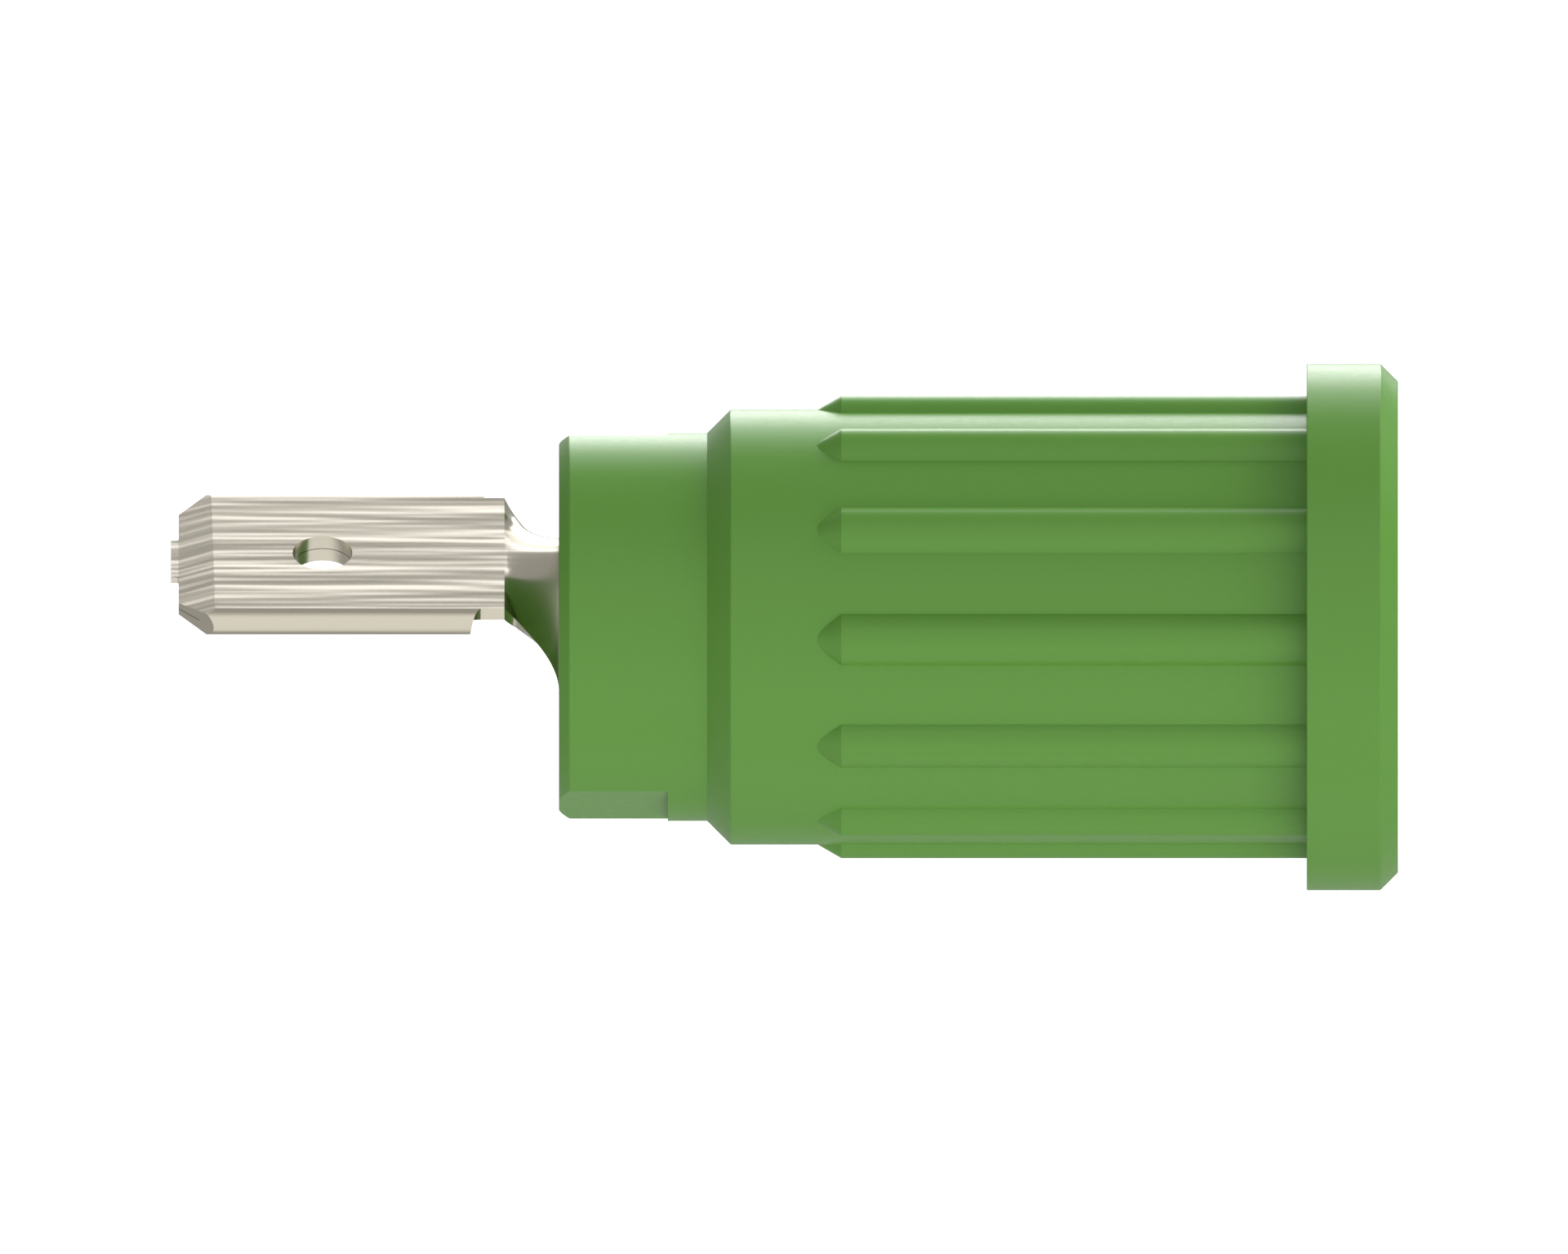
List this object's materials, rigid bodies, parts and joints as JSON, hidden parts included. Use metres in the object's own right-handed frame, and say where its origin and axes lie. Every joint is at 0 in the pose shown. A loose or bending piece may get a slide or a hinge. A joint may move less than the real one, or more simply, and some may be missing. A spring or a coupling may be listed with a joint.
{
  "type": "banana socket",
  "caption": "Press-in insulated panel socket for a shrouded 4 mm plug, with a folded flat blade at the rear for a slip-on receptacle.",
  "frame": {"origin": "centre of the flange's seat, the face that lies on the front of the panel, on the socket's axis", "axes": "+X along the socket's axis, out of the front of the panel; +Z square to the flat of the blade, on the side of the axis where the blade lies; +Y along the blade's width, away from its folded edge"},
  "size_m": [0.0349, 0.015, 0.015],
  "materials": {
    "moulding": "satin moulded polyamide, mid green",
    "plated_sheet": "nickel-plated copper-alloy sheet with drawing lines along its length"
  },
  "bodies": {
    "root": {"housing": "moulding", "contact": "plated_sheet"}
  },
  "joints": []
}
